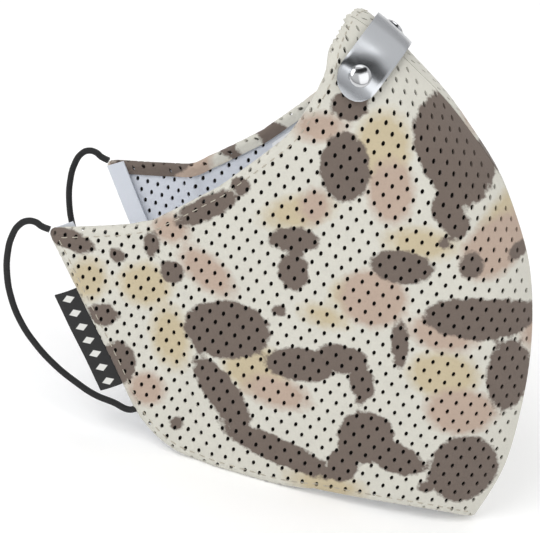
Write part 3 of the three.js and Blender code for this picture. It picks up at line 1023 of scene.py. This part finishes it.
@dataclass
class ClothLayers:
    """The outer mesh, filter, lining and pocket of both halves."""

    outer_thickness: float = 0.55
    filter_thickness: float = 0.5
    lining_thickness: float = 0.5
    turn_in: float = 6.8
    hem_width: float = 6.5
    hem_depth: float = 3.75
    hem_step: float = 1.5
    hem_start: float = 1.2

    def make(self) -> None:
        """Sews every layer of both halves."""
        for side in Side:
            self.outer(side)
            self.filter(side)
            self.lining(side)
            self.pocket(side)
            self.ear_hem(side)

    def ear_hem(self, side: Side) -> None:
        """Lays the white hem strip inside the ear edge."""
        line = even(SHAPE.ear, self.hem_step)
        way = (line[-1] - line[0]) / np.linalg.norm(line[-1] - line[0])
        square = np.array([-way[1], way[0]])
        square *= np.sign(square @ (np.array([0.0, 50.0]) - line[0]))
        marks = np.linspace(self.hem_start, self.hem_width, 7)
        spots = np.vstack([line[1:-1] + square * mark for mark in marks])
        points = SHAPE.layer(spots, self.hem_depth)
        faces = grid_faces(len(marks), len(line) - 2)
        name = f"ear_hem_strip_{side.word}"
        piece = new_object(name, SHAPE.placed(points, side), faces, LINING)
        uv = piece.data.uv_layers.new(name="cut")
        for loop in piece.data.loops:
            uv.data[loop.index].uv = spots[loop.vertex_index] / CUT_SCALE
        if piece.data.polygons[0].normal.y * side.value < 0:
            piece.data.flip_normals()
        thicken(piece, self.lining_thickness)
        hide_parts(f"ear_hem_{side.word}")
        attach(piece, f"cheek_{side.word}")
        LOG.info("%s: %d faces", name, len(piece.data.polygons))

    def outer(self, side: Side) -> None:
        """Sews the camouflage mesh, with its turned hem."""
        name = f"camo_cloth_{side.word}"
        cut = Cut(name, side, Layer.OUTER, CAMO, self.outer_thickness, turn_in=self.turn_in)
        piece = cut.sew()
        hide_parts(f"outer_front_{side.word}", f"outer_cheek_{side.word}")
        bend(piece, side)
        cut.declare()

    def filter(self, side: Side) -> None:
        """Lays the felt between the outer mesh and the lining."""
        name = f"filter_felt_{side.word}"
        cut = Cut(name, side, Layer.FILTER, FELT, self.filter_thickness, inset=1.9, holed=False)
        piece = cut.sew()
        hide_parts(f"filter_front_{side.word}", f"filter_cheek_{side.word}")
        bend(piece, side)
        cut.declare()

    def lining(self, side: Side) -> None:
        """Sews the white holed lining."""
        name = f"lining_cloth_{side.word}"
        shift = (1.3, 0.9)
        cut = Cut(name, side, Layer.LINING, LINING, self.lining_thickness, inset=1.9, shift=shift)
        piece = cut.sew()
        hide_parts(f"lining_front_{side.word}", f"lining_cheek_{side.word}")
        bend(piece, side)
        cut.declare()

    def pocket(self, side: Side) -> None:
        """Sews the plain pocket that holds a filter insert behind the mouth."""
        name = f"filter_pocket_{side.word}"
        settings = {"inset": 4.5, "holed": False, "front_only": True}
        cut = Cut(name, side, Layer.POCKET, POCKET, self.lining_thickness, **settings)
        piece = cut.sew()
        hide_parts(f"pocket_{side.word}")
        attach(piece, "front")
        cut.declare()


@dataclass
class Stitching:
    """Rows of stitches along the hems."""

    length: float = 2.1
    gap: float = 0.8
    thread: float = 0.32
    from_edge: float = 2.3
    drawn_step: float = 0.35
    sides: int = 6

    def make(self) -> None:
        """Sews the hems of both halves."""
        for side in Side:
            cut = Cut("", side, Layer.OUTER, CAMO, 1.0)
            lines = {"top": 0, "ear": 1, "bottom": 2}
            for word, number in lines.items():
                piece = self.row(f"{word}_stitches_{side.word}", cut, number, side)
                if word == "ear":
                    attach(piece, f"cheek_{side.word}")
                else:
                    bend(piece, side)
                LOG.info("%s: %d faces", piece.name, len(piece.data.polygons))

    def row(self, name: str, cut: Cut, number: int, side: Side) -> Any:
        """Sews one row parallel to an edge.

        Args:
            name: The row's name.
            cut: The outer cloth's cut.
            number: Which of its edges: top, ear or bottom.
            side: The mask's side.

        Returns:
            The piece.
        """
        edge = cut.edges()[number]
        line = edge - cut.outward(edge) * self.from_edge
        clear = nearest(line, np.vstack(cut.edges()))[1] > self.from_edge - SLACK
        line = line[clear & (SHAPE.cloth_back(line) > 1.0)]
        folded = SHAPE.fold(even(line, self.drawn_step))
        path = SHAPE.layer(folded, Layer.OUTER.value)
        return self.dashes(name, path, SHAPE.inward(folded), side)

    def dashes(self, name: str, path: np.ndarray, inward: np.ndarray, side: Side) -> Any:
        """Makes a row of separate stitches along a path.

        Args:
            name: The row's name.
            path: The path on the right half, in millimetres.
            inward: The surface's inward directions along it.
            side: The mask's side.

        Returns:
            The piece.
        """
        along = np.concatenate([[0], np.cumsum(np.linalg.norm(np.diff(path, axis=0), axis=1))])
        shares = np.array([0.0, 0.15, 0.5, 0.85, 1.0])
        swell = np.array([0.25, 0.8, 1.0, 0.8, 0.25]) * self.thread / 2
        sink = np.array([0.22, 0.02, -0.06, 0.02, 0.22])
        points, faces, sides = [], [], self.sides
        start = 0.5
        while start + self.length < along[-1]:
            marks = start + shares * self.length
            centre = np.stack([np.interp(marks, along, path[:, k]) for k in range(3)], 1)
            normal = np.stack([np.interp(marks, along, inward[:, k]) for k in range(3)], 1)
            way = centre[-1] - centre[0]
            way /= np.linalg.norm(way)
            across = np.cross(way, normal[2])
            first = len(points)
            for ring in range(len(shares)):
                middle = centre[ring] + normal[ring] * sink[ring]
                for k in range(sides):
                    angle = 2 * math.pi * k / sides
                    offset = math.cos(angle) * across - math.sin(angle) * normal[ring]
                    points.append(middle + offset * swell[ring])
            faces += self.tube_faces(first, len(shares), sides)
            start += self.length + self.gap
        placed = SHAPE.placed(np.array(points), side)
        if side is Side.LEFT:
            faces = [face[::-1] for face in faces]
        piece = new_object(name, placed, faces, THREAD)
        apply_modifiers(piece, 80)
        return piece

    @staticmethod
    def tube_faces(first: int, rings: int, sides: int) -> list[list[int]]:
        """The faces of a closed tube of rings, starting at a corner number."""
        faces = []
        for ring in range(rings - 1):
            for k in range(sides):
                a, b = first + ring * sides + k, first + ring * sides + (k + 1) % sides
                faces.append([a, b, b + sides, a + sides])
        faces.append([first + k for k in range(sides)][::-1])
        faces.append([first + (rings - 1) * sides + k for k in range(sides)])
        return faces


@dataclass
class SeamTape:
    """The twill tape that covers the centre seam inside."""

    half_width: float = 6.4
    cut_width: float = 10.0
    thickness: float = 0.4
    margin: float = 4.0
    step: float = 2.0

    def make(self) -> None:
        """Lays the tape across both halves along the seam."""
        seam = even(SHAPE.seam, self.step)
        keep = int(self.margin / self.step)
        stations = seam[keep:-keep]
        marks = np.linspace(0.4, self.half_width, 8)
        points = []
        for station in stations:
            level = np.full(len(marks), station @ ACROSS)
            behind = SHAPE.look_up(SHAPE.straight, level, marks)
            spots = station + np.outer(behind, BACK)
            right = SHAPE.skin(spots) + SHAPE.inward(spots) * Layer.TAPE.value
            right[:, 1] = np.minimum(right[:, 1], -0.2 * np.arange(1, len(marks) + 1))
            left = right * [1, -1, 1]
            points += list(right[::-1]) + list(left)
        faces = grid_faces(len(stations), 2 * len(marks))
        placed = SHAPE.placed(np.array(points), Side.RIGHT)
        piece = new_object("seam_tape", placed, faces, TWILL)
        face_outward(piece, Vector((-0.02, 0, 0.05)))
        thicken(piece, self.thickness)
        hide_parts("centre_seam_tape")
        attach(piece, "front")
        LOG.info("seam_tape: %d faces", len(piece.data.polygons))


# Hardware


@dataclass
class NoseClip:
    """The aluminium strip over the bridge of the nose, and its two rivets."""

    from_top: float = 13.0
    width: float = 11.5
    leg: float = 24.5
    lift: float = 1.2
    thickness: float = 0.8
    rivet_at: float = 18.7
    rivet_radius: float = 3.0
    rivet_dome: float = 1.3
    shank_radius: float = 1.0
    shank_end: float = 5.1
    rim: float = 0.32  # the height of the rivet's edge below its dome
    seam_step: float = 0.1  # millimetres between the points of the finely drawn seam

    def __post_init__(self) -> None:
        """Finds the clip's middle on the seam."""
        self.line = even(SHAPE.seam, self.seam_step)[::-1]
        self.middle = int(round(self.from_top / self.seam_step))
        way = self.line[self.middle - 5] - self.line[self.middle + 5]
        way /= np.linalg.norm(way)
        self.square = np.array([-way[1], way[0]])

    def spots(self, across: float, lengths: np.ndarray) -> np.ndarray:
        """Side-view points at cloth lengths down one leg.

        Args:
            across: The place across the strip, towards the nose's top.
            lengths: Cloth lengths from the seam.

        Returns:
            The side-view points.
        """
        start = self.line[self.middle - int(round(across / self.seam_step))]
        steps = np.linspace(0, self.leg * 1.3, 160)
        points = start + np.outer(steps, self.square)
        skin = SHAPE.skin(points)
        arc = np.concatenate([[0], np.cumsum(np.linalg.norm(np.diff(skin, axis=0), axis=1))])
        return start + np.outer(np.interp(lengths, arc, steps), self.square)

    def make(self) -> None:
        """Bends the strip over the bridge and sets the rivets."""
        round_end = self.width / 2
        straight = self.leg - round_end
        tip = straight + round_end * np.sin(np.linspace(0.12, 1.52, 12))
        lengths = np.concatenate([np.linspace(0.5, straight, 22), tip])
        grid = []
        for share in np.linspace(-1, 1, 15):
            past = np.maximum(lengths - straight, 0)
            half = np.sqrt(np.maximum(round_end**2 - past**2, 0.05))
            column = []
            for length, reach in zip(lengths, half):
                spot = self.spots(share * reach, np.array([length]))
                column.append((SHAPE.skin(spot) - SHAPE.inward(spot) * self.lift)[0])
            right = np.array(column)
            grid.append(np.vstack([right[::-1], right * [1, -1, 1]]))
        faces = grid_faces(len(grid), len(grid[0]))
        placed = SHAPE.placed(np.vstack(grid), Side.RIGHT)
        piece = new_object("nose_bridge_clip", placed, faces, ALUMINIUM)
        face_outward(piece, Vector(placed.mean(axis=0)) - Vector((0.01, 0, 0.02)))
        thicken(piece, self.thickness, 0.2)
        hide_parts("nose_clip")
        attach(piece, "front")
        LOG.info("nose_bridge_clip: %d faces", len(piece.data.polygons))
        for side in Side:
            self.rivet(side)

    def rivet(self, side: Side) -> None:
        """Spins up a domed rivet and sets it through the leg."""
        pick_none()
        radius = self.shank_radius * MM
        bpy.ops.mesh.primitive_circle_add(vertices=40, radius=radius, fill_type="NGON")
        piece = bpy.context.active_object
        piece.name = f"domed_rivet_{side.word}"
        bpy.ops.object.mode_set(mode="EDIT")
        bpy.ops.mesh.select_all(action="SELECT")
        seat = self.shank_end + self.lift + 0.02
        level, size = 0.0, self.shank_radius
        profile = [(seat, 1.0), (seat, 2.9), (seat + 0.12, 3.0), (seat + self.rim, 2.97)]
        for step in range(1, 9):
            angle = step * math.pi / 18
            wide = self.rivet_radius * math.cos(angle)
            rise = self.rim + (self.rivet_dome - self.rim) * math.sin(angle)
            profile.append((seat + rise, wide))
        profile.append((seat + self.rivet_dome, 0.2))
        for height, wide in profile:
            move = {"value": (0, 0, (height - level) * MM)}
            bpy.ops.mesh.extrude_region_move(TRANSFORM_OT_translate=move)
            ratio = wide / size
            centre = (0, 0, height * MM)
            bpy.ops.transform.resize(value=(ratio, ratio, 1), center_override=centre)
            level, size = height, wide
        bpy.ops.object.mode_set(mode="OBJECT")
        piece.data.materials.append(NICKEL.make())
        spot = self.spots(0.0, np.array([self.rivet_at]))
        skin, inward = SHAPE.skin(spot), SHAPE.inward(spot)
        foot = SHAPE.placed(skin + inward * self.shank_end, side)[0]
        head = SHAPE.placed(skin, side)[0]
        turn = (Vector(head) - Vector(foot)).to_track_quat("Z", "Y").to_matrix().to_4x4()
        piece.data.transform(Matrix.Translation(Vector(foot)) @ turn)
        settle(piece)
        apply_modifiers(piece, 40)
        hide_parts(f"rivet_{side.word}")
        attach(piece, "front")
        washer = frame["nodes"][f"rivet_washer_{side.word}"]
        washer.data.materials.clear()
        washer.data.materials.append(NICKEL.make())
        LOG.info("%s: %d faces", piece.name, len(piece.data.polygons))


def settle(piece: Any) -> None:
    """Merges doubles and turns a closed piece's faces outward."""
    pick(piece)
    bpy.ops.object.mode_set(mode="EDIT")
    bpy.ops.mesh.select_all(action="SELECT")
    bpy.ops.mesh.remove_doubles(threshold=0.000005)
    bpy.ops.mesh.normals_make_consistent(inside=False)
    bpy.ops.object.mode_set(mode="OBJECT")


@dataclass
class EarFrame:
    """The directions at one ear edge: its low end, up along it, and back from it."""

    side: Side
    behind: float = 0.6

    def __post_init__(self) -> None:
        """Works the directions out from the mask's surface."""
        ends = np.array([SHAPE.ear_bottom, SHAPE.ear_top])
        normal = SHAPE.inward(ends)
        low, high = SHAPE.skin(ends) + normal * SHAPE.stack / 2
        up = (high - low) / np.linalg.norm(high - low)
        back = np.cross(up, normal[0])
        back /= np.linalg.norm(back)
        if back[0] > 0:
            back = -back
        self.low, self.up, self.back = low + back * self.behind, up, back
        self.out = np.cross(up, back)
        if self.out[1] > 0:
            self.out = -self.out

    def at(self, up: float, back: float, out: float = 0.0) -> Vector:
        """A point by its distances up, back and out, in metres."""
        point = self.low + self.up * up + self.back * back + self.out * out
        return Vector(SHAPE.placed(point[None], self.side)[0])


@dataclass
class EarLoops:
    """The two black elastic loops, each sewn into the ear hem at both ends."""

    diameter: float = 1.8
    length: float = 80.5

    def make(self) -> None:
        """Lays each loop along its route."""
        for side in Side:
            ear = EarFrame(side)
            route = [
                (0.4, -1.3), (0.8, 0.9), (4, 3.9), (8, 8), (13.6, 11.6), (19.6, 14.6),
                (27.2, 17), (34.6, 18), (42, 17.4), (48.8, 15.4), (54.2, 12.6), (58.4, 9.2),
                (60.6, 6), (60.9, 3.4), (59.8, 1.4), (58.2, 0.4), (56.6, -1.3),
            ]
            points = [ear.at(up, back) for up, back in route]
            curve = bpy.data.curves.new(f"elastic_loop_{side.word}", "CURVE")
            curve.dimensions = "3D"
            curve.bevel_depth = self.diameter / 2 * MM
            curve.bevel_resolution = 5
            curve.resolution_u = 10
            curve.use_fill_caps = True
            spline = curve.splines.new("BEZIER")
            spline.bezier_points.add(len(points) - 1)
            for knot, point in zip(spline.bezier_points, points):
                knot.co = point
                knot.handle_left_type = knot.handle_right_type = "AUTO"
            piece = bpy.data.objects.new(curve.name, curve)
            bpy.context.scene.collection.objects.link(piece)
            curve.materials.append(ELASTIC.make())
            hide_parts(f"ear_loop_{side.word}")
            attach(piece, f"loop_{side.word}")
            LOG.info("%s: laid", piece.name)


@dataclass
class SideLabel:
    """The black woven label sewn into the right ear edge."""

    width: float = 6.8
    length: float = 30.0
    thickness: float = 0.5
    up: float = 23.6
    back: float = 2.5
    bow: float = 0.35

    def make(self) -> None:
        """Cuts the tape, bows it slightly and rounds its edges."""
        pick_none()
        bpy.ops.mesh.primitive_plane_add(size=1)
        piece = bpy.context.active_object
        piece.name = "woven_label"
        bpy.ops.object.mode_set(mode="EDIT")
        bpy.ops.mesh.select_all(action="SELECT")
        bpy.ops.mesh.subdivide(number_cuts=15)
        bpy.ops.object.mode_set(mode="OBJECT")
        ear = EarFrame(Side.RIGHT)
        for corner in piece.data.vertices:
            across, along = corner.co.x, corner.co.y
            bow = self.bow * (1 - (2 * across) ** 2) + 0.15 * math.sin(along * 9)
            up, back = self.up + along * self.length, self.back + across * self.width
            corner.co = ear.at(up, back, self.thickness / 2 + bow - self.bow / 2)
        out = ear.at(0, 0, 1) - ear.at(0, 0, 0)
        if piece.data.polygons[0].normal.dot(out) < 0:
            piece.data.flip_normals()
        piece.data.materials.append(LABEL.make())
        thicken(piece, self.thickness, 0.12)
        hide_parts("side_label")
        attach(piece, "label")
        LOG.info("woven_label: %d faces", len(piece.data.polygons))


# The studio


@dataclass
class Studio:
    """The camera, the soft lights and the pale floor."""

    azimuth: float = 8.99
    elevation: float = 26.61
    roll: float = -14.68
    distance: float = 900.0
    lens: float = 222.4
    target: tuple[float, float, float] = (-10.13, 0.0, 53.28)

    def camera(self) -> None:
        """Sets the camera at the object's three-quarter side view."""
        turn, rise, roll = (math.radians(a) for a in (self.azimuth, self.elevation, self.roll))
        view = Vector((math.cos(rise) * math.sin(turn), -math.cos(rise) * math.cos(turn), math.sin(rise)))
        right = Vector((math.cos(turn), math.sin(turn), 0))
        up = view.cross(right)
        across = right * math.cos(roll) - up * math.sin(roll)
        above = right * math.sin(roll) + up * math.cos(roll)
        data = bpy.data.cameras.new("camera")
        data.lens = self.lens
        data.sensor_width = 36
        data.clip_end = 20
        camera = bpy.data.objects.new("camera", data)
        bpy.context.scene.collection.objects.link(camera)
        place = Vector(self.target) * MM + view * self.distance * MM
        turned = Matrix((across, above, view)).transposed().to_4x4()
        camera.matrix_world = Matrix.Translation(place) @ turned
        bpy.context.scene.camera = camera

    def lights(self) -> None:
        """Hangs soft lights round the object, over a bright room."""
        for name, place, size, power in (
            ("key", (-0.5, -0.9, 1.3), 0.9, 12.0),
            ("fill", (1.2, -0.7, 0.8), 1.2, 4.0),
            ("top", (0.0, 0.5, 1.5), 1.2, 5.0),
        ):
            data = bpy.data.lights.new(name, "AREA")
            data.size = size
            data.energy = power
            lamp = bpy.data.objects.new(name, data)
            bpy.context.scene.collection.objects.link(lamp)
            aim = Vector((0, 0, 0.06)) - Vector(place)
            turn = aim.to_track_quat("-Z", "Y").to_matrix().to_4x4()
            lamp.matrix_world = Matrix.Translation(Vector(place)) @ turn

    def room(self) -> None:
        """Makes the bright room with a darker band at the height that metal reflects."""
        world = bpy.context.scene.world or bpy.data.worlds.new("room")
        bpy.context.scene.world = world
        world.use_nodes = True
        tree = world.node_tree
        shade = tree.nodes["Background"]
        place = add_node(tree, "ShaderNodeTexCoord").outputs["Generated"]
        axes = add_node(tree, "ShaderNodeSeparateXYZ", {0: place})
        ramp = add_node(tree, "ShaderNodeValToRGB", {"Fac": axes.outputs[2]})
        stops = ramp.color_ramp.elements
        stops[0].position, stops[0].color = 0.0, (0.5, 0.5, 0.51, 1)
        stops[1].position, stops[1].color = 0.45, (1, 1, 1, 1)
        for height, level in ((0.74, 1.0), (0.78, 0.03), (0.92, 0.03), (0.95, 1.0)):
            stops.new(height).color = (level, level, level, 1)
        tree.links.new(ramp.outputs[0], shade.inputs[0])
        shade.inputs[1].default_value = 0.8

    def floor(self) -> None:
        """Lays the pale floor under the mask."""
        pick_none()
        bpy.ops.mesh.primitive_plane_add(size=12, location=(0, 0, CAD_BOX[0][2]))
        floor = bpy.context.active_object
        floor.name = "studio_floor"
        material = bpy.data.materials.new("matt_white_board")
        material.use_nodes = True
        shader = material.node_tree.nodes["Principled BSDF"]
        shader.inputs["Base Color"].default_value = linear("#F7F7F7")
        shader.inputs["Roughness"].default_value = 0.95
        shader.inputs["Emission Color"].default_value = (1, 1, 1, 1)
        shader.inputs["Emission Strength"].default_value = 0.12
        floor.data.materials.append(material)

    def make(self) -> None:
        """Sets up the whole studio."""
        self.camera()
        self.lights()
        self.room()
        self.floor()
        bpy.context.scene.view_settings.view_transform = "Standard"


def main() -> None:
    """Builds every piece of the mask and its studio."""
    logging.basicConfig(level=logging.INFO, format="%(name)s %(message)s")
    builders: list[Callable[[], None]] = [
        Studio().make,
        EarLoops().make,
        ClothLayers().make,
        Stitching().make,
        SeamTape().make,
        NoseClip().make,
        SideLabel().make,
    ]
    for build in builders:
        build()


if __name__ == "__main__":
    main()
